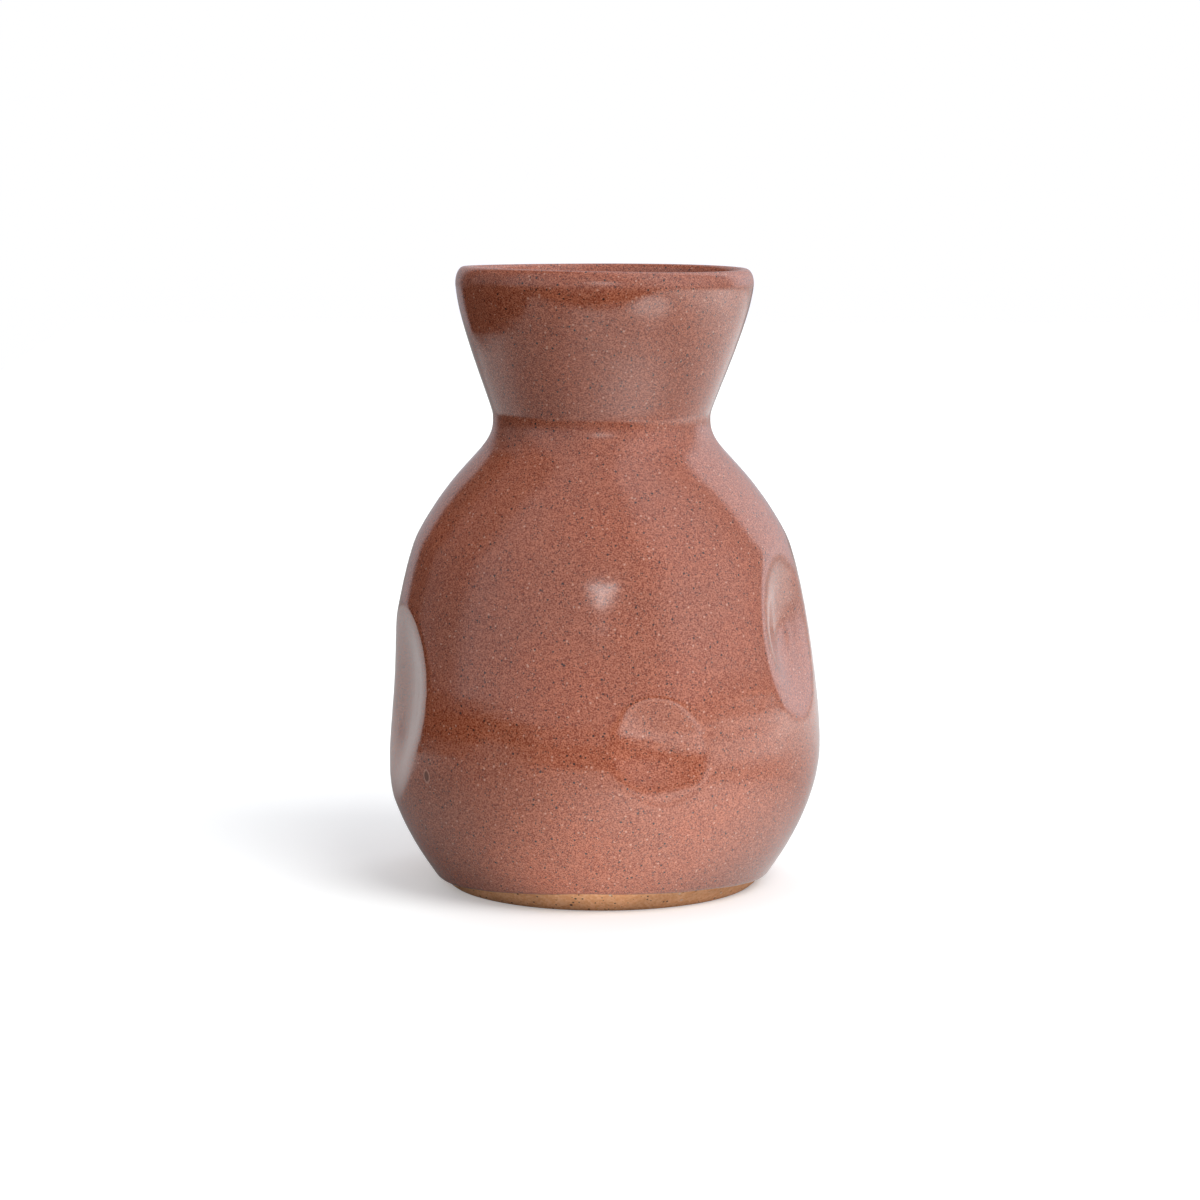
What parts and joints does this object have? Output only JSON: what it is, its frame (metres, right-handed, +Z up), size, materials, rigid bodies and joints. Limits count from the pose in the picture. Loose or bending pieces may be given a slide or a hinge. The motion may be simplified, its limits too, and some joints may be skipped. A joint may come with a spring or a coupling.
{
  "type": "ceramic bottle",
  "caption": "Stoneware bottle with a round, hand-dented belly, a narrow waist and a flared open collar, in speckled terracotta glaze over a bare clay foot.",
  "frame": {"origin": "centre of the flat foot, on the surface that the bottle stands on", "axes": "+Z up along the bottle's axis towards the mouth, -Y towards the front that the picture shows, +X to the right of that view"},
  "size_m": [0.106, 0.107, 0.1504],
  "materials": {
    "clay": "matt, bare fired buff stoneware",
    "slip": "matt, fired joining slip",
    "glaze": "glossy, speckled pink terracotta",
    "liner": "glossy, speckled terracotta"
  },
  "bodies": {
    "root": {"stoneware_belly": "clay", "stoneware_collar": "clay", "luting_slip": "slip", "outer_glaze": "glaze", "liner_glaze": "liner"}
  },
  "joints": []
}
